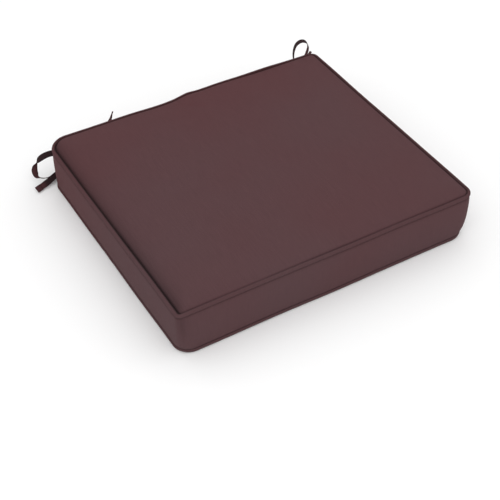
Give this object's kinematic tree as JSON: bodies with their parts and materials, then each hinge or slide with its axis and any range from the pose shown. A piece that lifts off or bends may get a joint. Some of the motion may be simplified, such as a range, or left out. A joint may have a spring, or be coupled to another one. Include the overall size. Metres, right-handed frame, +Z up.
{
  "type": "chair seat pad",
  "caption": "Box-edged square seat pad with piped edges, a zipped back band, a foam core and flat tape ties in a bow at each back corner.",
  "frame": {"origin": "middle of the underside, which rests on the seat", "axes": "+X along the front edge to the right as seen from the front, +Y from the front edge to the back, +Z up"},
  "size_m": [0.4965, 0.454, 0.0932],
  "materials": {
    "cover_cloth": "matte plain weave, dark maroon brown",
    "piping_cloth": "matte plain weave cut on the bias",
    "tie_tape": "matte folded and stitched tape",
    "filler_cord": "soft twisted cord",
    "wadding": "loose white polyester wadding",
    "foam": "open cell foam, matte",
    "zip_tape": "woven zip tape",
    "zip_coil": "nylon coil, satin",
    "zip_metal": "enamelled zinc, satin"
  },
  "bodies": {
    "root": {"top_panel": "cover_cloth", "bottom_panel": "cover_cloth", "front_boxing": "cover_cloth", "zip_boxing_upper": "cover_cloth", "zip_boxing_lower": "cover_cloth", "top_piping_cover": "piping_cloth", "bottom_piping_cover": "piping_cloth", "top_piping_cord": "filler_cord", "bottom_piping_cord": "filler_cord", "fibre_wrap": "wadding", "foam_core": "foam", "zip_tape_upper": "zip_tape", "zip_tape_lower": "zip_tape", "zip_teeth_upper": "zip_coil", "zip_teeth_lower": "zip_coil", "left_upper_tie": "tie_tape", "left_lower_tie": "tie_tape", "left_bow_knot": "tie_tape", "right_upper_tie": "tie_tape", "right_lower_tie": "tie_tape", "right_bow_knot": "tie_tape"},
    "slider": {"zip_slider": "zip_metal"},
    "pull_tab": {"zip_pull_tab": "zip_metal"}
  },
  "joints": [
    {"name": "zip_slide", "type": "slide", "parent": "root", "child": "slider", "axis": [1, 0, 0], "range_m": [-0.286, 0]},
    {"name": "pull_tab_turn", "type": "hinge", "parent": "slider", "child": "pull_tab", "pos_m": [0.146, 0.2033, 0.038], "axis": [0, 0, -1], "range_deg": [0, 165]}
  ]
}
